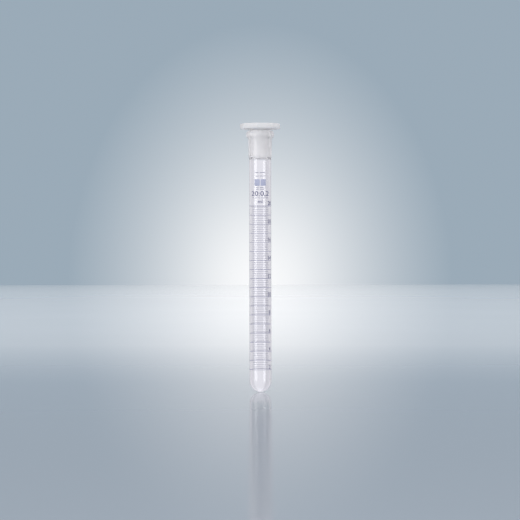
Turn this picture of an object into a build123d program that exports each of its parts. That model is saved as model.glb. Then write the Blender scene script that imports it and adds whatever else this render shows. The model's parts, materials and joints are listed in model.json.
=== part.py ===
from build123d import *
from math import cos, pi, radians, sin
import os

os.makedirs("parts", exist_ok=True)

# Graduated test tube for 20 ml in 0.2 ml steps, with a ground conical socket and a plastic stopper.
# Origin: on the axis, where the round bottom would touch a table. +Z up, the print faces -Y.

# ---- driving dimensions, mm ----
# barrel
tube_od = 16.0
tube_wall = 1.05
bottom_wall = 1.1  # a little thicker, where the round bottom is drawn together
capacity_ml = 20  # volume at the highest ring
clear_length = 33.8  # from the highest ring up to the neck

# conical socket and beaded rim
joint_bore = 14.5  # at the rim
joint_length = 19.0  # ground length
joint_taper = 0.1  # on the diameter
joint_wall = 1.25  # at the rim
neck_length = 2.0  # over which the barrel's bore runs into the ground taper
swell_length = 3.0  # over which the outside swells from barrel to socket
rim_height = 5.6
rim_stand = 1.6  # how far the bead stands out of the socket
rim_land = 0.25  # flat lip on top
rim_chamfer = 0.4  # lead-in at the mouth

# stopper
head_across_flats = 27.1
head_height = 4.0
head_turn = -8.0  # degrees from +X to a corner
head_gap = 1.0  # from the rim up to the head's underside
head_edge = 0.45
head_corner = 0.8
recess_across = 15.0  # shallow round recess in the top
recess_depth = 0.5
plug_length = 20.0  # below the rim
plug_wall = 1.1
plug_clearance = 0.06  # from the ribs to the ground socket, radial
plug_lead = 0.5  # rounding at the plug's lower lip
rib_count = 3
rib_height = 0.22
rib_width = 1.4

# scale
film = 0.045  # thickness of the fired enamel
ring_line = 0.24
mark_line = 0.18
marks_per_ml = 5
mark_half_angle = 45.0  # reach of a short mark to each side of the front
first_ring_ml = 2
numeral_step_ml = 2
numeral_height = 3.1
numeral_angle = 57.0  # middle of the numerals, to the right of the front
numeral_rise = 0.45  # clear of the ring below

# letters, as shares of their height
pen = 0.15
x_height = 0.7  # of the small letters
arch_r = 0.16  # in the middle of the stroke, for m and n
letter_width = 0.54
letter_gap = 0.16

# rows printed over the scale
unit_height = 2.6
reference_height = 0.9
reference_gap = 0.45  # between its letters, as a share of their height
capacity_height = 3.4
capacity_gap = 0.3  # likewise, and for the unit
bar_height = 0.3
bar_gap = 0.75  # between two bars of one row
lower_words = (2.0, 3.4)  # lengths of the bars in one row
lower_pitch = 1.15  # from one row of bars to the next
upper_words = (2.6, 4.0)
upper_pitch = 2.45
panel_height = 4.8
panel_width = 3.95
panel_split = 0.5
panel_corner = 0.5

# ---- sizes worked out from those ----
tube_r = tube_od / 2
bore_r = tube_r - tube_wall
bowl_z = bottom_wall + bore_r  # centre of the inner bowl
joint_r = joint_bore / 2
socket_r = joint_r + joint_wall
rim_r = socket_r + rim_stand
rim_round = rim_r - joint_r - rim_chamfer - rim_land
film_r = tube_r + film


def level(volume_ml):
    """height to which this volume fills the round-bottomed bore"""
    return bottom_wall + bore_r / 3 + volume_ml * 1000 / (pi * bore_r**2)


top_ring_z = level(capacity_ml)
neck_z = top_ring_z + clear_length  # top of the straight barrel
joint_end_z = neck_z + neck_length  # small end of the ground taper
rim_z = joint_end_z + joint_length
head_z = rim_z + head_gap
plug_z = rim_z - plug_length


def taper_r(z):
    """radius of the socket's ground cone, also beyond its ends"""
    return joint_r - (rim_z - z) * joint_taper / 2


# ---- glass ----
def make_tube():
    bead_z = rim_z - rim_height
    with BuildPart() as glass:
        with BuildSketch(Plane.XZ):
            with BuildLine():
                bottom = CenterArc((0, tube_r), tube_r, -90, 90)
                barrel = Line(bottom @ 1, (tube_r, neck_z))
                swell_end = (socket_r, neck_z + swell_length)
                swell = Spline(barrel @ 1, swell_end, tangents=[(0, 1), (0, 1)])
                body = Line(swell @ 1, (socket_r, bead_z))
                foot = RadiusArc(body @ 1, (rim_r, bead_z + rim_stand), -rim_stand)
                side = Line(foot @ 1, (rim_r, rim_z - rim_round))
                shoulder = RadiusArc(side @ 1, (rim_r - rim_round, rim_z), -rim_round)
                lip = Line(shoulder @ 1, (joint_r + rim_chamfer, rim_z))
                lead = Line(lip @ 1, (taper_r(rim_z - rim_chamfer), rim_z - rim_chamfer))
                cone = Line(lead @ 1, (taper_r(joint_end_z), joint_end_z))
                neck = Spline(cone @ 1, (bore_r, neck_z), tangents=[(0, -1), (0, -1)])
                bore = Line(neck @ 1, (bore_r, bowl_z))
                bowl = CenterArc((0, bowl_z), bore_r, 0, -90)
                Line(bowl @ 1, bottom @ 0)
            make_face()
        revolve(axis=Axis.Z)
    return glass.part


# ---- stopper ----
def make_plug_shape():
    """the solid of the plug, ribs included, before it is hollowed"""
    groove = plug_clearance + rib_height
    pitch = (plug_length - 2 * rib_width) / rib_count
    with BuildPart() as plug:
        with BuildSketch(Plane.XZ):
            with BuildLine():
                lip = (taper_r(plug_z) - groove, plug_z + plug_lead)
                lead = RadiusArc((lip[0] - plug_lead, plug_z), lip, -plug_lead)
                end = lead @ 1
                for rib in range(rib_count):
                    z = plug_z + rib_width + (rib + 0.5) * pitch
                    low = (taper_r(z - rib_width / 2) - groove, z - rib_width / 2)
                    top = (taper_r(z) - plug_clearance, z)
                    high = (taper_r(z + rib_width / 2) - groove, z + rib_width / 2)
                    Line(end, low)
                    end = ThreePointArc(low, top, high) @ 1
                flank = Line(end, (taper_r(head_z) - groove, head_z))
                roof = Polyline(flank @ 1, (flank @ 1 + (0, head_edge)), (0, head_z + head_edge))
                Polyline(roof @ 1, (0, plug_z), lead @ 0)
            make_face()
        revolve(axis=Axis.Z)
    return plug.part


def make_stopper():
    inset = plug_clearance + rib_height + plug_wall  # from the ground cone to the plug's hollow
    with BuildPart() as stopper:
        with BuildSketch(Plane.XY.offset(head_z)) as outline:
            RegularPolygon(head_across_flats / 2, 8, major_radius=False, rotation=head_turn)
            fillet(outline.vertices(), head_corner)
        extrude(amount=head_height)
        flats = stopper.faces().filter_by(Axis.Z)
        fillet(flats.edges(), head_edge)
        with BuildSketch(Plane.XY.offset(head_z + head_height)):
            Circle(recess_across / 2)
        extrude(amount=-recess_depth, mode=Mode.SUBTRACT)
        add(make_plug_shape())
        with BuildSketch(Plane.XY.offset(plug_z)):
            Circle(taper_r(plug_z) - inset)
        with BuildSketch(Plane.XY.offset(head_z)):
            Circle(taper_r(head_z) - inset)
        loft(mode=Mode.SUBTRACT)
    return stopper.part


# ---- enamel lines ----
def film_line(z, width, half_angle):
    """a line round the barrel, reaching this far to each side of the front"""
    section = Pos(tube_r + film / 2, 0, z) * Rot(90, 0, 0) * Rectangle(film, width)
    return Rot(0, 0, -90 - half_angle) * revolve(section, Axis.Z, 2 * half_angle)


def make_rings():
    levels = [level(ml) for ml in range(first_ring_ml, capacity_ml + 1)]
    return [film_line(z, ring_line, 180) for z in levels]


def make_short_marks():
    marks = []
    for ml in range(first_ring_ml, capacity_ml):
        for step in range(1, marks_per_ml):
            z = level(ml + step / marks_per_ml)
            marks.append(film_line(z, mark_line, mark_half_angle))
    return marks


# ---- letters, drawn one unit high ----
def stroke(*edges):
    outline = Wire(edges).offset_2d(pen / 2, kind=Kind.ARC, side=Side.BOTH, closed=True)
    return Sketch() + Face(outline)


def path(*points):
    return stroke(*[Line(a, b) for a, b in zip(points, points[1:])])


def loop(height, base=0.0):
    ring = Ellipse(letter_width / 2, height / 2) - Ellipse(letter_width / 2 - pen, height / 2 - pen)
    return Pos(letter_width / 2, base + height / 2) * ring


def dot(x, y):
    return Pos(x, y) * Circle(pen * 0.6)


edge = pen / 2  # middle of a stroke that touches the letter's outline
right = letter_width - edge
top = 1 - edge
middle = letter_width / 2


def letter_1():
    return path((edge, 0.76), (middle, top), (middle, edge))


def letter_2():
    bow_r = middle - edge
    bow = CenterArc((middle, top - bow_r), bow_r, 165, -205)
    return stroke(bow, Line(bow @ 1, (edge, edge)), Line((edge, edge), (right, edge)))


def letter_4():
    post_x = letter_width * 0.72
    return path((post_x, edge), (post_x, top), (edge, 0.3)) + path((edge, 0.3), (right, 0.3))


def letter_6():
    return loop(0.6) + stroke(ThreePointArc((edge, 0.3), (0.17, 0.74), (right - 0.04, top)))


def letter_8():
    return loop(0.5 + edge) + loop(0.5 + edge, 0.5 - edge)


def letter_m():
    letter = path((edge, edge), (edge, x_height - edge))
    for start in (edge, edge + 2 * arch_r):
        arch = CenterArc((start + arch_r, x_height - edge - arch_r), arch_r, 180, -180)
        letter += stroke(arch, Line(arch @ 1, (start + 2 * arch_r, edge)))
    return letter


def letter_n():
    arch = CenterArc((edge + arch_r, x_height - edge - arch_r), arch_r, 180, -180)
    return path((edge, edge), (edge, x_height - edge)) + stroke(arch, Line(arch @ 1, (edge + 2 * arch_r, edge)))


def letter_c():
    bow_r = middle - edge
    upper = CenterArc((middle, top - bow_r), bow_r, 20, 160)
    lower = CenterArc((middle, edge + bow_r), bow_r, 180, 160)
    return stroke(upper, Line(upper @ 1, lower @ 0), lower)


def letter_plus_minus():
    upright = path((middle, 0.34), (middle, 0.9))
    return upright + path((edge, 0.62), (right, 0.62)) + path((edge, edge), (right, edge))


def letter_degree():
    return Pos(0.16, 1 - 0.16) * (Circle(0.16) - Circle(0.16 - pen * 0.7))


# each letter's shape and how wide it is
letters = {
    "0": (lambda: loop(1), letter_width),
    "1": (letter_1, middle + edge),
    "2": (letter_2, letter_width),
    "4": (letter_4, letter_width),
    "6": (letter_6, letter_width),
    "8": (letter_8, letter_width),
    "m": (letter_m, 4 * arch_r + pen),
    "n": (letter_n, 2 * arch_r + pen),
    "l": (lambda: path((edge, edge), (edge, top)), pen),
    "I": (lambda: path((edge, edge), (edge, top)), pen),
    "C": (letter_c, letter_width),
    ":": (lambda: dot(0.1, 0.24) + dot(0.1, 0.68), 0.2),
    ",": (lambda: path((0.14, edge), (0.08, -0.08)), 0.2),
    "°": (letter_degree, 0.32),
    "±": (letter_plus_minus, letter_width),
    " ": (None, 0.2),
}


# ---- enamel prints ----
def on_barrel(flat, z, angle):
    """the film under a flat outline pressed on the barrel, this far to the right of the front"""
    turn = radians(angle)
    face_on = Plane((0, 0, z), x_dir=(cos(turn), sin(turn), 0), z_dir=(sin(turn), -cos(turn), 0))
    block = extrude(face_on * flat, amount=tube_od)
    height = flat.bounding_box().size.Y * 2
    shell = Cylinder(film_r, height) - Cylinder(tube_r, height)
    return block & Pos(0, 0, z + flat.bounding_box().center().Y) * shell


def across(length):
    """the angle that a length along the barrel's surface takes"""
    return length / tube_r * 180 / pi


def write(text, height, z, angle=0.0, spacing=letter_gap):
    """letters round the barrel, standing on z, with their middle at an angle"""
    widths = [letters[c][1] * height for c in text]
    gap = spacing * height
    start = -(sum(widths) + gap * (len(text) - 1)) / 2
    printed = []
    for letter, width in zip(text, widths):
        shape = letters[letter][0]
        if shape:
            flat = Pos(-width / 2, 0) * scale(Sketch(shape().faces()), height)
            printed += on_barrel(flat, z, angle + across(start + width / 2)).solids()
        start += width + gap
    return printed


def make_bars(z, words, pitch):
    """blank dashes in two rows, each row centred on the front"""
    solids = []
    for base in (z, z + pitch):
        start = -(sum(words) + bar_gap * (len(words) - 1)) / 2
        for word in words:
            bar = film_line(base + bar_height / 2, bar_height, across(word / 2))
            solids.append(Rot(0, 0, across(start + word / 2)) * bar)
            start += word + bar_gap
    return solids


def make_panels(z):
    panel = Pos(0, panel_height / 2) * RectangleRounded(panel_width, panel_height, panel_corner)
    offset = across((panel_width + panel_split) / 2)
    return [on_barrel(panel, z, side * offset) for side in (-1, 1)]


# ---- rows over the scale: what is left of the clear length is shared out under and over them ----
def row_places():
    heights = dict(unit=unit_height, reference=reference_height, capacity=capacity_height)
    heights |= dict(lower_bars=lower_pitch + bar_height, panels=panel_height)
    heights |= dict(upper_bars=upper_pitch + bar_height)
    space_under = dict(unit=1.9, reference=1.0, capacity=0.85, lower_bars=1.2, panels=1.2, upper_bars=2.1)
    space_over = 9.6
    free = clear_length - sum(heights.values())
    part = free / (sum(space_under.values()) + space_over)
    places = {}
    z = top_ring_z
    for row, height in heights.items():
        z += space_under[row] * part
        places[row] = z
        z += height
    return places


def main():
    rows = row_places()
    nodes = {
        "glass_tube": make_tube(),
        "stopper": make_stopper(),
        "graduation_rings": Compound(make_rings()),
        "short_marks": Compound(make_short_marks()),
        "lower_print_bars": Compound(make_bars(rows["lower_bars"], lower_words, lower_pitch)),
        "print_panels": Compound(make_panels(rows["panels"])),
        "upper_print_bars": Compound(make_bars(rows["upper_bars"], upper_words, upper_pitch)),
    }
    unit = write("ml", unit_height, rows["unit"], spacing=capacity_gap)
    reference = write("In 20 °C ±0,2 ml", reference_height, rows["reference"], spacing=reference_gap)
    capacity = write("20:0,2", capacity_height, rows["capacity"], spacing=capacity_gap)
    nodes["unit_sign"] = Compound(unit)
    nodes["reference_line"] = Compound(reference)
    nodes["capacity_inscription"] = Compound(capacity)
    for ml in range(first_ring_ml, capacity_ml + 1, numeral_step_ml):
        z = level(ml) + numeral_rise
        nodes[f"numeral_{ml:02d}"] = Compound(write(str(ml), numeral_height, z, numeral_angle))
    for name, solid in nodes.items():
        export_step(solid, f"parts/{name}.step")
    print("overall height", round(head_z + head_height, 2), "mm, rim at", round(rim_z, 2), "mm")


main()
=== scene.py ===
import json
import math

import bpy
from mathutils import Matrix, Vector


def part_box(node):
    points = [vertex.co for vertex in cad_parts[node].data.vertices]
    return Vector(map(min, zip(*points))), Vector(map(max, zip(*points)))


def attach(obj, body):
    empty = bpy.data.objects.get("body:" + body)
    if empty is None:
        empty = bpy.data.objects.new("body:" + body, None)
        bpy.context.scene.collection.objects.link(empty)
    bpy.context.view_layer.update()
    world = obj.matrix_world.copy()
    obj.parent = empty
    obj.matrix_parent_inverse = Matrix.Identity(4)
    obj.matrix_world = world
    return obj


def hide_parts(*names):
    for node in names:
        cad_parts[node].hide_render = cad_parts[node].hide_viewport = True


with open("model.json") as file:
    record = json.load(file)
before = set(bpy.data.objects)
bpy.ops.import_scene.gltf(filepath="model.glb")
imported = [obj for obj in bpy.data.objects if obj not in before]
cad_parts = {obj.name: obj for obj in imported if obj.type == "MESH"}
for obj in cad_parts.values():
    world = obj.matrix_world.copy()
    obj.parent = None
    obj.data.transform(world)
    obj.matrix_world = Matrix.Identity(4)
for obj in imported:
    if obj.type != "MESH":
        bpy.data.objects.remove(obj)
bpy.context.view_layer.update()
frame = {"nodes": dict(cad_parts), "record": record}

mm = 0.001
pi = math.pi
print("frame loaded,", len(frame["nodes"]), "nodes")

# places read from the frame: everything below is worked out from these
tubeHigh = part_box("glass_tube")[1]
stopperLow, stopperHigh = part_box("stopper")
ringsLow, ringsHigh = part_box("graduation_rings")
mounts = {mount["name"]: mount for mount in frame["record"]["mounts"]}
barrelR = mounts["barrel"]["dims"]["r_mm"] * mm
rimZ = tubeHigh.z
rimR = tubeHigh.x
filmR = ringsHigh.x
filmDeep = barrelR - 0.02 * mm  # the fired colour sinks a little way into the glass


# small tools of the bench
def clearSelection():
    if bpy.context.object and bpy.context.object.mode != "OBJECT":
        bpy.ops.object.mode_set(mode="OBJECT")
    for item in bpy.context.selected_objects:
        item.select_set(False)


def pick(piece):
    clearSelection()
    piece.select_set(True)
    bpy.context.view_layer.objects.active = piece


def editAll(piece, kind="VERT"):
    pick(piece)
    bpy.ops.object.mode_set(mode="EDIT")
    bpy.ops.mesh.select_mode(type=kind)
    bpy.ops.mesh.select_all(action="SELECT")


def closeUp():
    # seams and poles are merged, then the faces are turned outwards
    bpy.ops.mesh.select_all(action="SELECT")
    bpy.ops.mesh.remove_doubles(threshold=0.0005 * mm)
    bpy.ops.mesh.normals_make_consistent(inside=False)


def drawOutline(name, outline):
    # one point is drawn out along the outline, in the XZ plane
    clearSelection()
    bpy.ops.mesh.primitive_plane_add(size=mm, location=(0, 0, 0))
    piece = bpy.context.object
    piece.name = name
    piece.data.name = name
    editAll(piece)
    bpy.ops.mesh.merge(type="CENTER")
    r, z = outline[0]
    bpy.ops.transform.translate(value=(r, 0, z))
    for (r0, z0), (r1, z1) in zip(outline, outline[1:]):
        bpy.ops.mesh.extrude_region_move(TRANSFORM_OT_translate={"value": (r1 - r0, 0, z1 - z0)})
    return piece


def lathe(name, outline, sides):
    piece = drawOutline(name, outline)
    bpy.ops.mesh.select_all(action="SELECT")
    bpy.ops.mesh.spin(steps=sides, angle=2 * pi, center=(0, 0, 0), axis=(0, 0, 1))
    closeUp()
    bpy.ops.object.mode_set(mode="OBJECT")
    return piece


def arc(centre, radius, start, end, steps):
    # points round an arc, degrees from +X
    points = []
    for step in range(steps + 1):
        angle = math.radians(start + (end - start) * step / steps)
        points.append((centre[0] + radius * math.cos(angle), centre[1] + radius * math.sin(angle)))
    return points


def swell(low, high, steps):
    # a soft S between two upright stretches
    points = []
    for step in range(1, steps):
        t = step / steps
        eased = t * t * (3 - 2 * t)
        points.append((low[0] + (high[0] - low[0]) * eased, low[1] + (high[1] - low[1]) * t))
    return points


def straightRun(low, high):
    # points between two ends, the outer ones close to them so the shading stays level
    hold = 0.3 * mm / math.dist(low, high)
    points = []
    for t in (hold, 0.5, 1 - hold):
        points.append((low[0] + (high[0] - low[0]) * t, low[1] + (high[1] - low[1]) * t))
    return points


def useModifier(piece, kind, **settings):
    pick(piece)
    modifier = piece.modifiers.new(kind.lower(), kind)
    for key, value in settings.items():
        setattr(modifier, key, value)
    bpy.ops.object.modifier_apply(modifier=modifier.name)


def roundEdges(piece, width, segments):
    useModifier(
        piece, "BEVEL", width=width, segments=segments, limit_method="ANGLE", angle_limit=math.radians(60)
    )


def smooth(piece, degreesOfEdge=40):
    pick(piece)
    bpy.ops.object.shade_smooth_by_angle(angle=math.radians(degreesOfEdge))


def finishPiece(piece, body, slot, nodes, *materials):
    piece.data.materials.clear()
    for material in materials:
        piece.data.materials.append(material)
    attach(piece, body)
    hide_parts(*nodes)


# materials
def startMaterial(name):
    material = bpy.data.materials.new(name)
    material.use_nodes = True
    nodes = material.node_tree.nodes
    links = material.node_tree.links
    shader = nodes["Principled BSDF"]
    place = nodes.new("ShaderNodeTexCoord")
    return material, nodes, links, shader, place.outputs["Object"]


def noiseAt(nodes, links, place, size, detail=3.0, stretch=(1, 1, 1)):
    # noise with grains of this size in metres, drawn out by stretch
    mapping = nodes.new("ShaderNodeMapping")
    mapping.inputs["Scale"].default_value = [1 / (size * s) for s in stretch]
    noise = nodes.new("ShaderNodeTexNoise")
    noise.inputs["Scale"].default_value = 1.0
    noise.inputs["Detail"].default_value = detail
    links.new(place, mapping.inputs["Vector"])
    links.new(mapping.outputs["Vector"], noise.inputs["Vector"])
    return noise.outputs["Fac"]


def spread(nodes, links, value, low, high, fromLow=0.3, fromHigh=0.7):
    # the noise's middle range is spread between two values
    remap = nodes.new("ShaderNodeMapRange")
    remap.inputs["From Min"].default_value = fromLow
    remap.inputs["From Max"].default_value = fromHigh
    remap.inputs["To Min"].default_value = low
    remap.inputs["To Max"].default_value = high
    links.new(value, remap.inputs["Value"])
    return remap.outputs["Result"]


def times(nodes, links, first, second):
    product = nodes.new("ShaderNodeMath")
    product.operation = "MULTIPLY"
    links.new(first, product.inputs[0])
    links.new(second, product.inputs[1])
    return product.outputs["Value"]


def blend(nodes, links, share):
    # a colour mixed from two, its inputs 6 and 7, by this share
    mix = nodes.new("ShaderNodeMix")
    mix.data_type = "RGBA"
    links.new(share, mix.inputs["Factor"])
    return mix


def twoTone(nodes, links, value, first, second):
    ramp = nodes.new("ShaderNodeValToRGB")
    ramp.color_ramp.elements[0].position = 0.35
    ramp.color_ramp.elements[1].position = 0.65
    ramp.color_ramp.elements[0].color = (*first, 1)
    ramp.color_ramp.elements[1].color = (*second, 1)
    links.new(value, ramp.inputs["Fac"])
    return ramp.outputs["Color"]


def bumpFrom(nodes, links, value, strength, distance):
    bump = nodes.new("ShaderNodeBump")
    bump.inputs["Strength"].default_value = strength
    bump.inputs["Distance"].default_value = distance
    links.new(value, bump.inputs["Height"])
    return bump.outputs["Normal"]


def letLampsThrough(nodes, links, shader, tint):
    # glass would shut the lamps out from what is inside it
    output = nodes["Material Output"]
    path = nodes.new("ShaderNodeLightPath")
    clear = nodes.new("ShaderNodeBsdfTransparent")
    clear.inputs["Color"].default_value = (*tint, 1)
    mix = nodes.new("ShaderNodeMixShader")
    links.new(path.outputs["Is Shadow Ray"], mix.inputs["Fac"])
    links.new(shader.outputs["BSDF"], mix.inputs[1])
    links.new(clear.outputs["BSDF"], mix.inputs[2])
    links.new(mix.outputs["Shader"], output.inputs["Surface"])


def makeClearGlass():
    look = {
        "index": 1.473,
        "deep": (0.975, 0.975, 0.99),
        "pale": (0.99, 0.99, 1.0),
        "roughest": 0.01,
        "waveSize": 5 * mm,
        "waveHeight": 0.001 * mm,
    }
    material, nodes, links, shader, place = startMaterial("clearGlass")
    shader.inputs["Transmission Weight"].default_value = 1.0
    shader.inputs["IOR"].default_value = look["index"]
    haze = noiseAt(nodes, links, place, 1.2 * mm, 4.0, (1, 1, 6))
    links.new(twoTone(nodes, links, haze, look["deep"], look["pale"]), shader.inputs["Base Color"])
    links.new(spread(nodes, links, haze, 0.0, look["roughest"]), shader.inputs["Roughness"])
    # drawn tubing is wavy round its girth and nearly straight along its length
    wave = noiseAt(nodes, links, place, look["waveSize"], 1.0, (1, 1, 12))
    links.new(bumpFrom(nodes, links, wave, 0.2, look["waveHeight"]), shader.inputs["Normal"])
    letLampsThrough(nodes, links, shader, (0.96, 0.96, 0.97))
    return material


def makeGroundGlass():
    look = {
        "index": 1.473,
        "clear": 0.5,
        "deep": (0.95, 0.95, 0.955),
        "pale": (0.98, 0.98, 0.985),
        "grain": 0.06 * mm,
        "depth": 0.004 * mm,
    }
    material, nodes, links, shader, place = startMaterial("groundGlass")
    shader.inputs["Transmission Weight"].default_value = look["clear"]
    shader.inputs["IOR"].default_value = look["index"]
    grit = noiseAt(nodes, links, place, look["grain"], 3.0)
    turns = noiseAt(nodes, links, place, 0.5 * mm, 2.0, (6, 6, 0.5))
    links.new(twoTone(nodes, links, turns, look["deep"], look["pale"]), shader.inputs["Base Color"])
    links.new(spread(nodes, links, grit, 0.28, 0.42), shader.inputs["Roughness"])
    links.new(bumpFrom(nodes, links, grit, 0.3, look["depth"]), shader.inputs["Normal"])
    letLampsThrough(nodes, links, shader, (0.95, 0.95, 0.96))
    return material


def makeEnamel(name, look):
    material, nodes, links, shader, place = startMaterial(name)
    cloud = noiseAt(nodes, links, place, 0.35 * mm, 4.0)
    speck = noiseAt(nodes, links, place, 0.05 * mm, 2.0)
    links.new(twoTone(nodes, links, cloud, look["deep"], look["pale"]), shader.inputs["Base Color"])
    links.new(spread(nodes, links, cloud, 0.28, 0.45), shader.inputs["Roughness"])
    links.new(bumpFrom(nodes, links, speck, 0.25, 0.004 * mm), shader.inputs["Normal"])
    return material


def makeStopperPlastic():
    look = {"white": (0.93, 0.925, 0.925), "milk": (0.96, 0.955, 0.955), "bleed": 0.85, "reach": 7.0 * mm}
    material, nodes, links, shader, place = startMaterial("stopperPlastic")
    cloud = noiseAt(nodes, links, place, 4.0 * mm, 3.0)
    skin = noiseAt(nodes, links, place, 0.25 * mm, 4.0)
    links.new(twoTone(nodes, links, cloud, look["white"], look["milk"]), shader.inputs["Base Color"])
    links.new(spread(nodes, links, skin, 0.34, 0.5), shader.inputs["Roughness"])
    links.new(bumpFrom(nodes, links, skin, 0.2, 0.01 * mm), shader.inputs["Normal"])
    shader.inputs["IOR"].default_value = 1.51
    shader.inputs["Subsurface Weight"].default_value = look["bleed"]
    shader.inputs["Subsurface Radius"].default_value = (1.0, 0.95, 0.9)
    shader.inputs["Subsurface Scale"].default_value = look["reach"]
    return material


clearGlass = makeClearGlass()
groundGlass = makeGroundGlass()
blueEnamel = makeEnamel("blueEnamel", {"deep": (0.08, 0.085, 0.21), "pale": (0.12, 0.13, 0.29)})
ringEnamel = makeEnamel("ringEnamel", {"deep": (0.27, 0.275, 0.45), "pale": (0.33, 0.34, 0.52)})
lineEnamel = makeEnamel("lineEnamel", {"deep": (0.11, 0.115, 0.26), "pale": (0.16, 0.17, 0.34)})
thinEnamel = makeEnamel("thinEnamel", {"deep": (0.51, 0.54, 0.72), "pale": (0.58, 0.61, 0.79)})
stopperPlastic = makeStopperPlastic()
print("materials made")


# glass tube
def makeTube():
    shape = {
        "wall": 1.05 * mm,
        "bottomWall": 1.1 * mm,
        "jointR": 7.25 * mm,  # at the rim
        "jointLong": 19.0 * mm,
        "taper": 0.05,  # on the radius
        "jointWall": 1.25 * mm,
        "neckLong": 2.0 * mm,
        "swellLong": 3.0 * mm,
        "rimHigh": 5.6 * mm,
        "beadHollow": 0.5 * mm,
        "land": 0.25 * mm,
        "chamfer": 0.4 * mm,
        "sides": 192,
    }
    r = barrelR
    boreR = r - shape["wall"]
    bowlZ = shape["bottomWall"] + boreR
    jointEndZ = rimZ - shape["jointLong"]
    neckZ = jointEndZ - shape["neckLong"]
    socketR = shape["jointR"] + shape["jointWall"]
    stand = rimR - socketR
    beadZ = rimZ - shape["rimHigh"]
    roundR = rimR - shape["jointR"] - shape["chamfer"] - shape["land"]
    coneEndR = shape["jointR"] - shape["jointLong"] * shape["taper"]
    chamferZ = rimZ - shape["chamfer"]
    swellZ = neckZ + shape["swellLong"]
    hollow = shape["beadHollow"]
    outline = arc((0, r), r, -90, 0, 28)
    outline += straightRun((r, r), (r, neckZ))
    outline += [(r, neckZ), *swell((r, neckZ), (socketR, swellZ), 10), (socketR, swellZ)]
    outline += straightRun((socketR, swellZ), (socketR, beadZ - hollow))
    # the bead runs into the socket by a small hollow
    outline += arc((socketR + hollow, beadZ - hollow), hollow, 180, 90, 5)
    outline += arc((rimR - stand + hollow, beadZ + stand), stand - hollow, -90, 0, 8)[1:]
    outline += arc((rimR - roundR, rimZ - roundR), roundR, 0, 90, 12)
    outline += arc((shape["jointR"] + shape["chamfer"], chamferZ), shape["chamfer"], 90, 180, 5)
    outline += straightRun((shape["jointR"], chamferZ), (coneEndR, jointEndZ))
    outline += [(coneEndR, jointEndZ), *swell((coneEndR, jointEndZ), (boreR, neckZ), 10), (boreR, neckZ)]
    outline += straightRun((boreR, neckZ), (boreR, bowlZ))
    outline += arc((0, bowlZ), boreR, 0, -90, 28)
    piece = lathe("glassTube", outline, shape["sides"])

    finishPiece(piece, "tube", "tube_glass", ["glass_tube"], clearGlass, groundGlass)
    # the ground cone has its own finish
    for face in piece.data.polygons:
        inside = math.hypot(face.center.x, face.center.y) < shape["jointR"]
        if inside and jointEndZ < face.center.z < chamferZ:
            face.material_index = 1
    smooth(piece, 60)


makeTube()
print("glass tube made")


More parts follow.
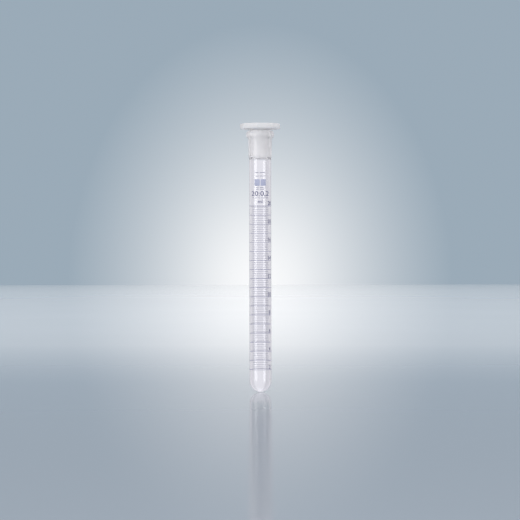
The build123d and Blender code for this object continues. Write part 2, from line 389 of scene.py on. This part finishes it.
# stopper
def makeStopper():
    shape = {
        "headHigh": 4.0 * mm,
        "acrossFlats": 27.1 * mm,
        "turn": -8.0,
        "edge": 0.45 * mm,
        "cornerSoft": 0.36 * mm,
        "recessR": 7.5 * mm,
        "recessDeep": 0.5 * mm,
        "recessHollow": 0.4 * mm,
        "gateR": 1.1 * mm,
        "gateHigh": 0.25 * mm,
        "jointR": 7.25 * mm,
        "taper": 0.05,
        "clearance": 0.06 * mm,
        "ribHigh": 0.22 * mm,
        "ribWide": 1.4 * mm,
        "ribs": 3,
        "wall": 1.1 * mm,
        "lead": 0.5 * mm,
        "lip": 0.1 * mm,
        "fillet": 0.5 * mm,
        "buried": 1.5 * mm,  # how far the plug runs up inside the head
        "hollowRound": 1.2 * mm,
        "sides": 128,
    }
    headZ = stopperHigh.z - shape["headHigh"]
    topZ = stopperHigh.z
    plugZ = stopperLow.z
    groove = shape["clearance"] + shape["ribHigh"]

    def coneR(z):
        return shape["jointR"] - (rimZ - z) * shape["taper"]

    # the head: an eight-sided slab with a recessed top
    clearSelection()
    cornerR = shape["acrossFlats"] / 2 / math.cos(pi / 8)
    bpy.ops.mesh.primitive_cylinder_add(
        vertices=8,
        radius=cornerR,
        depth=shape["headHigh"],
        location=(0, 0, headZ + shape["headHigh"] / 2),
        rotation=(0, 0, math.radians(shape["turn"])),
    )
    head = bpy.context.object
    head.name = "stopper"
    head.data.name = "stopper"
    bpy.ops.object.transform_apply(location=True, rotation=True, scale=True)
    editAll(head, "EDGE")
    bpy.ops.mesh.select_all(action="DESELECT")
    bpy.ops.object.mode_set(mode="OBJECT")
    for edge in head.data.edges:
        a, b = (head.data.vertices[v].co for v in edge.vertices)
        edge.select = abs(a.z - b.z) > mm  # the eight upright corners
    bpy.ops.object.mode_set(mode="EDIT")
    bpy.ops.mesh.bevel(offset=shape["cornerSoft"], segments=4, affect="EDGES")
    bpy.ops.object.mode_set(mode="OBJECT")
    roundEdges(head, shape["edge"], 4)

    # the plug with its ribs, hollow from below
    pitch = (rimZ - plugZ - 2 * shape["ribWide"]) / shape["ribs"]
    lipR = coneR(plugZ) - groove
    innerR = lipR - shape["wall"]
    outline = [(innerR, plugZ + shape["lip"]), (innerR + shape["lip"], plugZ)]
    outline += arc((lipR - shape["lead"], plugZ + shape["lead"]), shape["lead"], -90, 0, 5)
    for rib in range(shape["ribs"]):
        z = plugZ + shape["ribWide"] + (rib + 0.5) * pitch
        for step in range(9):
            t = step / 8
            ribZ = z + (t - 0.5) * shape["ribWide"]
            outline.append((coneR(ribZ) - groove + shape["ribHigh"] * math.sin(pi * t), ribZ))
    # a small fillet runs into the head
    top = coneR(headZ) - groove
    fillet = shape["fillet"]
    outline += arc((top + fillet, headZ - fillet), fillet, 180, 90, 5)
    buriedZ = headZ + shape["buried"]
    outline += [(top + fillet, buriedZ), (0, buriedZ), (0, headZ)]
    hollowTop = top - shape["wall"]
    soft = shape["hollowRound"]
    outline += arc((hollowTop - soft, headZ - soft), soft, 90, 0, 6)
    outline.append(outline[0])
    plug = lathe("plug", outline, shape["sides"])
    useModifier(head, "BOOLEAN", operation="UNION", solver="EXACT", object=plug)
    bpy.data.objects.remove(plug)

    # the recess in the top, with the mark of the moulding gate in its middle
    floorZ = topZ - shape["recessDeep"]
    gateR = shape["gateR"]
    gateZ = floorZ + shape["gateHigh"]
    hollow = shape["recessHollow"]
    cutter = [(0, gateZ), (gateR - 0.2 * mm, gateZ), (gateR, floorZ + 0.1 * mm), (gateR + 0.1 * mm, floorZ)]
    cutter += arc((shape["recessR"] - hollow, floorZ + hollow), hollow, -90, 0, 4)
    cutter += [(shape["recessR"] + 0.1 * mm, topZ + mm), (0, topZ + mm)]
    cut = lathe("recessCutter", cutter, 96)
    useModifier(head, "BOOLEAN", operation="DIFFERENCE", solver="EXACT", object=cut)
    bpy.data.objects.remove(cut)
    finishPiece(head, "stopper", "stopper_plastic", ["stopper"], stopperPlastic)
    smooth(head, 35)


makeStopper()
print("stopper made")


# printed scale
def lineSection(z, width):
    # a printed line in section: flat against the glass, its outer corners rounded by the firing
    soft = 0.02 * mm
    half = width / 2
    cut = soft * 0.3
    outline = [(filmDeep, z - half), (filmR - soft, z - half), (filmR - cut, z - half + cut)]
    outline += [(filmR, z - half + soft), (filmR, z + half - soft), (filmR - cut, z + half - cut)]
    outline += [(filmR - soft, z + half), (filmDeep, z + half), (filmDeep, z - half)]
    return outline


def copyUp(piece, lifts):
    # copies of a line, each with its own mesh, lifted to their places and joined
    copies = [piece]
    for lift in lifts:
        clone = piece.copy()
        clone.data = piece.data.copy()
        bpy.context.scene.collection.objects.link(clone)
        editAll(clone)
        bpy.ops.transform.translate(value=(0, 0, lift))
        bpy.ops.object.mode_set(mode="OBJECT")
        copies.append(clone)
    clearSelection()
    for clone in copies:
        clone.select_set(True)
    bpy.context.view_layer.objects.active = piece
    bpy.ops.object.join()


def makeRings():
    shape = {"line": 0.24 * mm, "from": 2, "to": 20, "sides": 160}
    low = ringsLow.z + shape["line"] / 2
    high = ringsHigh.z - shape["line"] / 2
    count = shape["to"] - shape["from"]
    pitch = (high - low) / count
    ring = lathe("graduationRings", lineSection(low, shape["line"]), shape["sides"])
    copyUp(ring, [pitch * step for step in range(1, count + 1)])
    finishPiece(ring, "tube", "scale_enamel", ["graduation_rings"], ringEnamel)
    smooth(ring, 50)
    return low, pitch


def makeShortMarks(low, pitch):
    shape = {"line": 0.18 * mm, "half": 45.0, "perRing": 5, "rings": 18, "steps": 28}
    mark = drawOutline("shortMarks", lineSection(low + pitch / shape["perRing"], shape["line"]))
    bpy.ops.mesh.select_all(action="SELECT")
    bpy.ops.mesh.remove_doubles(threshold=0.0005 * mm)
    bpy.ops.mesh.edge_face_add()
    bpy.ops.mesh.select_all(action="SELECT")
    sweep = math.radians(2 * shape["half"])
    bpy.ops.mesh.spin(steps=shape["steps"], angle=sweep, center=(0, 0, 0), axis=(0, 0, 1))
    closeUp()
    bpy.ops.object.mode_set(mode="OBJECT")
    # turned to lie evenly about the front
    mark.rotation_euler = (0, 0, math.radians(shape["half"] - 90))
    bpy.ops.object.transform_apply(location=True, rotation=True, scale=True)
    lifts = []
    for ring in range(shape["rings"]):
        for step in range(shape["perRing"] - 1):
            lifts.append((ring + step / shape["perRing"]) * pitch)
    copyUp(mark, lifts[1:])  # the first is the mark already there
    finishPiece(mark, "tube", "scale_enamel", ["short_marks"], lineEnamel)
    smooth(mark, 50)


ringZ, ringPitch = makeRings()
makeShortMarks(ringZ, ringPitch)
print("rings and short marks made")


# printed letters
def placeOf(node):
    # where a print lies when the barrel is rolled out flat: left, right, bottom, top
    low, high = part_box(node)
    left = math.asin(max(-1, low.x / barrelR)) * barrelR
    right = math.asin(min(1, high.x / filmR)) * barrelR
    return left, right, low.z, high.z


def bendRound(piece):
    # the flat print is cut into narrow strips and rolled round the barrel
    xs = [v.co.x for v in piece.data.vertices]
    low, high = min(xs), max(xs)
    strip = 0.3 * mm
    editAll(piece)
    for step in range(1, int((high - low) / strip) + 1):
        bpy.ops.mesh.select_all(action="SELECT")
        bpy.ops.mesh.bisect(plane_co=(low + step * strip, 0, 0), plane_no=(1, 0, 0))
    bpy.ops.mesh.select_all(action="SELECT")
    bpy.ops.transform.translate(value=(0, barrelR - filmDeep, 0))
    bpy.ops.object.mode_set(mode="OBJECT")
    useModifier(piece, "SIMPLE_DEFORM", deform_method="BEND", deform_axis="Z", angle=(high - low) / barrelR)
    editAll(piece)
    bpy.ops.transform.translate(value=(0, -barrelR, 0))
    bpy.ops.object.mode_set(mode="OBJECT")


def flatLetters(name, text, weight):
    # lies flat as it is typed, as thick as the print, with softened edges
    look = {"size": 4 * mm, "softEdge": 0.008 * mm, "steps": 6}
    clearSelection()
    bpy.ops.object.text_add(location=(0, 0, 0))
    piece = bpy.context.object
    piece.name = name
    thick = filmR - filmDeep
    piece.data.body = text
    piece.data.size = look["size"]
    piece.data.offset = weight
    piece.data.extrude = thick / 2 - look["softEdge"]
    piece.data.bevel_depth = look["softEdge"]
    piece.data.resolution_u = look["steps"]
    bpy.ops.object.convert(target="MESH")
    piece.data.name = name
    return piece


def printLetters(name, text, node, weight=0.0):
    piece = flatLetters(name, text, weight)
    left, right, bottom, top = placeOf(node)
    xs = [v.co.x for v in piece.data.vertices]
    ys = [v.co.y for v in piece.data.vertices]
    zs = [v.co.z for v in piece.data.vertices]
    across = (right - left) / (max(xs) - min(xs))
    up = (top - bottom) / (max(ys) - min(ys))
    # stood up and fitted to its place
    piece.scale = (across, up, 1)
    piece.rotation_euler = (pi / 2, 0, 0)
    piece.location = (left - min(xs) * across, min(zs), bottom - min(ys) * up)
    bpy.ops.object.transform_apply(location=True, rotation=True, scale=True)
    editAll(piece)
    bpy.ops.mesh.remove_doubles(threshold=0.0005 * mm)
    bpy.ops.mesh.normals_make_consistent(inside=False)
    bpy.ops.object.mode_set(mode="OBJECT")
    bendRound(piece)
    finishPiece(piece, "tube", "scale_enamel", [node], blueEnamel)
    smooth(piece, 40)


printLetters("capacityInscription", "20:0,2", "capacity_inscription", 0.00001)
printLetters("unitSign", "ml", "unit_sign", 0.00003)
printLetters("referenceLine", "In 20 °C ±0,2 ml", "reference_line")
for number in range(2, 21, 2):
    printLetters(f"numeral{number:02d}", str(number), f"numeral_{number:02d}", 0.00005)
print("letters made")


# plain panels and bars over the inscription
def plainPatch(left, right, bottom, top, soft):
    # a flat patch with rounded corners, as thick as the print
    clearSelection()
    thick = filmR - filmDeep
    centre = ((left + right) / 2, -thick / 2, (bottom + top) / 2)
    bpy.ops.mesh.primitive_cube_add(size=1, location=centre, scale=(right - left, thick, top - bottom))
    patch = bpy.context.object
    bpy.ops.object.transform_apply(location=True, rotation=True, scale=True)
    editAll(patch, "EDGE")
    bpy.ops.mesh.select_all(action="DESELECT")
    bpy.ops.object.mode_set(mode="OBJECT")
    for edge in patch.data.edges:
        a, b = (patch.data.vertices[v].co for v in edge.vertices)
        edge.select = abs(a.y - b.y) > thick / 2
    bpy.ops.object.mode_set(mode="EDIT")
    bpy.ops.mesh.bevel(offset=soft, segments=5, affect="EDGES")
    bpy.ops.object.mode_set(mode="OBJECT")
    roundEdges(patch, 0.015 * mm, 2)
    return patch


def joinPatches(name, patches, node, enamel):
    clearSelection()
    for patch in patches:
        patch.select_set(True)
    piece = patches[0]
    bpy.context.view_layer.objects.active = piece
    bpy.ops.object.join()
    piece.name = name
    piece.data.name = name
    bendRound(piece)
    finishPiece(piece, "tube", "scale_enamel", [node], enamel)
    smooth(piece, 40)


def makePanels():
    shape = {"split": 0.5 * mm, "corner": 0.5 * mm}
    left, right, bottom, top = placeOf("print_panels")
    half = shape["split"] / 2
    patches = [
        plainPatch(left, -half, bottom, top, shape["corner"]),
        plainPatch(half, right, bottom, top, shape["corner"]),
    ]
    joinPatches("printPanels", patches, "print_panels", thinEnamel)


def makeBars(name, node, words):
    shape = {"high": 0.3 * mm, "gap": 0.75 * mm, "corner": 0.09 * mm}
    left, right, bottom, top = placeOf(node)
    share = (right - left - shape["gap"]) / sum(words)
    patches = []
    for base in (bottom, top - shape["high"]):
        start = left
        for word in words:
            end = start + word * share
            patches.append(plainPatch(start, end, base, base + shape["high"], shape["corner"]))
            start = end + shape["gap"]
    joinPatches(name, patches, node, blueEnamel)


makePanels()
makeBars("lowerPrintBars", "lower_print_bars", (2.0, 3.4))
makeBars("upperPrintBars", "upper_print_bars", (2.6, 4.0))
print("panels and bars made")


# studio
def makeFloor():
    look = {
        "front": -2.0,
        "back": 3.9,
        "widest": 8.0,
        # painted light: the floor's colour runs from a darker tone at the front to a paler one at the back,
        # as if lit more towards the glowing backdrop
        "near": (0.46, 0.505, 0.56),
        "far": (0.80, 0.81, 0.82),
        "paintedLightFrom": -0.6,
        "paintedLightTo": 1.4,
        "rough": (0.11, 0.114),
        "cloud": 0.4,
    }
    clearSelection()
    deep = look["back"] - look["front"]
    middle = (look["back"] + look["front"]) / 2
    bpy.ops.mesh.primitive_plane_add(size=1, location=(0, middle, -0.02 * mm))
    floor = bpy.context.object
    floor.name = "studioFloor"
    floor.scale = (look["widest"], deep, 1)
    bpy.ops.object.transform_apply(location=True, rotation=True, scale=True)
    floor.visible_transmission = False
    material, nodes, links, shader, place = startMaterial("palePolishedFloor")
    depth = nodes.new("ShaderNodeSeparateXYZ")
    links.new(place, depth.inputs["Vector"])
    # painted light and shade: the colour pales with depth, from the darker front tone to the paler back tone
    along = spread(nodes, links, depth.outputs["Y"], 0.0, 1.0, look["paintedLightFrom"], look["paintedLightTo"])
    ramp = twoTone(nodes, links, along, look["near"], look["far"])
    links.new(ramp, shader.inputs["Base Color"])
    cloud = noiseAt(nodes, links, place, look["cloud"], 2.0)
    links.new(spread(nodes, links, cloud, *look["rough"]), shader.inputs["Roughness"])
    shader.inputs["IOR"].default_value = 1.5
    floor.data.materials.append(material)


def makeBackdrop():
    look = {
        "far": 3.9,
        "size": (8, 5),
        "middle": -0.012,  # height of the glow's middle
        "reach": (0.2457, 0.3393),
        "fall": -0.526,
        "least": 0.42,
        "bright": (0.955, 0.965, 0.978),
        "dim": (0.326, 0.406, 0.480),
        "room": (0.78, 0.775, 0.81),  # far to the sides, as the room's own light
        "roomFrom": 0.75,
        "roomTo": 1.3,
    }
    clearSelection()
    bpy.ops.mesh.primitive_plane_add(size=1, location=(0, look["far"], 0), rotation=(pi / 2, 0, 0))
    wall = bpy.context.object
    wall.name = "studioBackdrop"
    wall.scale = (*look["size"], 1)
    bpy.ops.object.transform_apply(location=True, rotation=True, scale=True)
    wall.visible_transmission = False
    material = bpy.data.materials.new("glowingBackdrop")
    material.use_nodes = True
    nodes = material.node_tree.nodes
    links = material.node_tree.links
    nodes.clear()
    place = nodes.new("ShaderNodeTexCoord")
    mapping = nodes.new("ShaderNodeMapping")
    mapping.vector_type = "TEXTURE"
    mapping.inputs["Location"].default_value = (0, look["far"], look["middle"])
    mapping.inputs["Scale"].default_value = (look["reach"][0], 1, look["reach"][1])
    square = nodes.new("ShaderNodeVectorMath")
    square.operation = "DOT_PRODUCT"
    plusOne = nodes.new("ShaderNodeMath")
    plusOne.inputs[1].default_value = 1
    fall = nodes.new("ShaderNodeMath")
    fall.operation = "POWER"
    fall.inputs[1].default_value = look["fall"]
    near = spread(nodes, links, fall.outputs["Value"], 0.0, 1.0, look["least"], 1.0)
    mix = blend(nodes, links, near)
    mix.inputs[6].default_value = (*look["dim"], 1)
    mix.inputs[7].default_value = (*look["bright"], 1)
    glow = nodes.new("ShaderNodeEmission")
    output = nodes.new("ShaderNodeOutputMaterial")
    links.new(place.outputs["Object"], mapping.inputs["Vector"])
    links.new(mapping.outputs["Vector"], square.inputs[0])
    links.new(mapping.outputs["Vector"], square.inputs[1])
    links.new(square.outputs["Value"], plusOne.inputs[0])
    links.new(plusOne.outputs["Value"], fall.inputs[0])
    aside = nodes.new("ShaderNodeSeparateXYZ")
    links.new(place.outputs["Object"], aside.inputs["Vector"])
    away = nodes.new("ShaderNodeMath")
    away.operation = "ABSOLUTE"
    links.new(aside.outputs["X"], away.inputs[0])
    farAside = spread(nodes, links, away.outputs["Value"], 0.0, 1.0, look["roomFrom"], look["roomTo"])
    opened = blend(nodes, links, farAside)
    links.new(mix.outputs[2], opened.inputs[6])
    opened.inputs[7].default_value = (*look["room"], 1)
    links.new(opened.outputs[2], glow.inputs["Color"])
    links.new(glow.outputs["Emission"], output.inputs["Surface"])
    wall.data.materials.append(material)


def makeSoftbox(name, place, aim, size, glow):
    # glow is how bright its face looks, white paper in the room being 1
    data = bpy.data.lights.new(name, "AREA")
    data.shape = "RECTANGLE"
    data.size, data.size_y = size
    data.energy = glow * pi * size[0] * size[1]
    lamp = bpy.data.objects.new(name, data)
    bpy.context.scene.collection.objects.link(lamp)
    lamp.location = place
    lamp.rotation_euler = (Vector(aim) - Vector(place)).to_track_quat("-Z", "Y").to_euler()
    lamp.visible_camera = False
    return lamp


def lightStudio():
    look = {
        "front": (0.84, 0.835, 0.86),
        "room": (0.90, 0.89, 0.92),
        "left": (0.63, 0.625, 0.67),
        "middle": (0.79, 0.785, 0.835),
        "right": (0.59, 0.585, 0.63),
        # how far to the side each tone sits, as the sine of its direction
        "tones": [
            ("room", -0.9), ("left", -0.45), ("left", -0.115), ("middle", -0.075),
            ("middle", 0.045), ("right", 0.075), ("right", 0.45), ("room", 0.9),
        ],
        "turn": (-0.2, 0.2),  # where the even front gives way to the tones
        "card": (0.30, 0.35, 0.375),
        "cardFoot": (0.060, 0.070),
        "cardTop": (0.14, 0.17),
        "cardSides": (0.88, 0.95),
        "ceiling": 0.66,
        "ceilingFrom": (0.25, 0.8),
        "under": 1.35,
        "underFrom": (-0.5, -0.12),
    }
    lamps = {
        "leftSoftbox": {"place": (-1.12, -0.9, 0.12), "aim": (0, 0, 0.12), "size": (0.8, 0.45), "glow": 2.6},
        "frontFill": {"place": (0.35, -1.4, 0.3), "aim": (0, 0, 0.1), "size": (1.2, 1.0), "glow": 1.4},
        "farFloorLamp": {"place": (0, 2.1, 1.3), "aim": (0, 2.1, 0), "size": (2.2, 3.4), "glow": 0.55},
    }
    makeSoftbox("leftSoftbox", **lamps["leftSoftbox"])
    # fills the front without showing as a highlight on the glass
    frontFill = makeSoftbox("frontFill", **lamps["frontFill"])
    frontFill.visible_glossy = False
    frontFill.visible_transmission = False
    floorLamp = makeSoftbox("farFloorLamp", **lamps["farFloorLamp"])
    floorLamp.data.spread = math.radians(95)
    world = bpy.data.worlds.new("studioAir")
    bpy.context.scene.world = world
    world.use_nodes = True
    nodes = world.node_tree.nodes
    links = world.node_tree.links
    place = nodes.new("ShaderNodeTexCoord")
    side = nodes.new("ShaderNodeSeparateXYZ")
    links.new(place.outputs["Generated"], side.inputs["Vector"])
    ramp = nodes.new("ShaderNodeValToRGB")
    ramp.color_ramp.interpolation = "EASE"
    stops = ramp.color_ramp.elements
    for tone, across in look["tones"]:
        stop = stops.new((across + 1) / 2)
        stop.color = (*look[tone], 1)
    stops.remove(stops[0])
    stops.remove(stops[-1])
    links.new(spread(nodes, links, side.outputs["X"], 0.0, 1.0, -1.0, 1.0), ramp.inputs["Fac"])
    # the tones lie behind the tube, the room in front of it is even
    whole = blend(nodes, links, spread(nodes, links, side.outputs["Y"], 0.0, 1.0, *look["turn"]))
    whole.inputs[6].default_value = (*look["front"], 1)
    links.new(ramp.outputs["Color"], whole.inputs[7])
    # a dark card stands behind in a low band, for the tube's image in the floor
    risen = spread(nodes, links, side.outputs["Z"], 0.0, 1.0, *look["cardFoot"])
    notHigh = spread(nodes, links, side.outputs["Z"], 1.0, 0.0, *look["cardTop"])
    behind = spread(nodes, links, side.outputs["Y"], 0.0, 1.0, *look["cardSides"])
    band = times(nodes, links, risen, notHigh)
    carded = blend(nodes, links, times(nodes, links, band, behind))
    carded.inputs[7].default_value = (*look["card"], 1)
    links.new(whole.outputs[2], carded.inputs[6])
    links.new(carded.outputs[2], nodes["Background"].inputs["Color"])
    ceiling = spread(nodes, links, side.outputs["Z"], 1.0, look["ceiling"], *look["ceilingFrom"])
    under = spread(nodes, links, side.outputs["Z"], look["under"], 1.0, *look["underFrom"])
    links.new(times(nodes, links, ceiling, under), nodes["Background"].inputs["Strength"])


def placeCamera():
    look = {"lens": 142.9, "back": 1.5, "eye": 0.108, "aimZ": 0.09603, "aimX": -0.0002, "roll": 0.1}
    data = bpy.data.cameras.new("camera")
    data.lens = look["lens"]
    data.sensor_width = 36
    camera = bpy.data.objects.new("camera", data)
    bpy.context.scene.collection.objects.link(camera)
    camera.location = (look["aimX"], -look["back"], look["eye"])
    down = math.atan2(look["eye"] - look["aimZ"], look["back"])
    camera.rotation_euler = (pi / 2 - down, math.radians(look["roll"]), 0)
    data.clip_end = 50
    bpy.context.scene.camera = camera


makeFloor()
makeBackdrop()
lightStudio()
placeCamera()
bpy.context.scene.view_settings.view_transform = "Standard"
print("studio and camera set")
